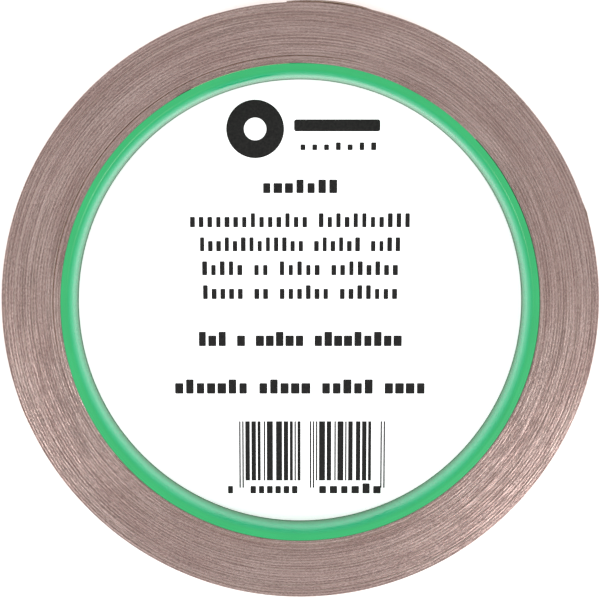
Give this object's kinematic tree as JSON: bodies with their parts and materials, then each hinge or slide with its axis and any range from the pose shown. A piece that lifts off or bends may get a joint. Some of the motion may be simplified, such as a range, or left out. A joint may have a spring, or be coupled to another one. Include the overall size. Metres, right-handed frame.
{
  "type": "copper foil tape roll",
  "caption": "Flat roll of narrow adhesive-backed copper foil tape on a plastic core ring, with a free tape end and a round card in the bore.",
  "frame": {"origin": "centre of the back face, which the roll lies on", "axes": "+Z along the roll's axis towards its front face; +Y towards the free end of the tape; +X to the right seen from the front"},
  "size_m": [0.0989, 0.0993, 0.0056],
  "materials": {
    "core": "moulded, low gloss",
    "foil": "bright copper foil",
    "adhesive": "black tacky coat",
    "liner": "silicone-coated release paper",
    "card": "white coated card",
    "tab": "adhesive film"
  },
  "bodies": {
    "roll": {"core_ring": "core", "label_card": "card", "starter_tab": "tab", "copper_foil": "foil", "adhesive_coat": "adhesive", "release_liner": "liner"},
    "tail": {"tail_foil": "foil", "tail_adhesive": "adhesive", "tail_liner": "liner"},
    "tail_tip": {"tip_foil": "foil", "tip_adhesive": "adhesive", "tip_liner": "liner"},
    "foil_flap": {"flap_foil": "foil", "flap_adhesive": "adhesive"}
  },
  "joints": [
    {"name": "tail_lift", "type": "hinge", "parent": "roll", "child": "tail", "pos_m": [0.01158, 0.04822, 0.0028], "axis": [0, 0, -1], "range_deg": [0, 50]},
    {"name": "tail_bend", "type": "hinge", "parent": "tail", "child": "tail_tip", "pos_m": [0.00694, 0.04938, 0.0028], "axis": [0, 0, -1], "range_deg": [0, 50]},
    {"name": "foil_peel", "type": "hinge", "parent": "tail_tip", "child": "foil_flap", "pos_m": [0.00217, 0.04976, 0.0028], "axis": [0, 0, -1], "range_deg": [0, 80]}
  ],
  "couplings": [
    {"joint": "tail_bend", "follows": "tail_lift", "ratio": 1}
  ]
}
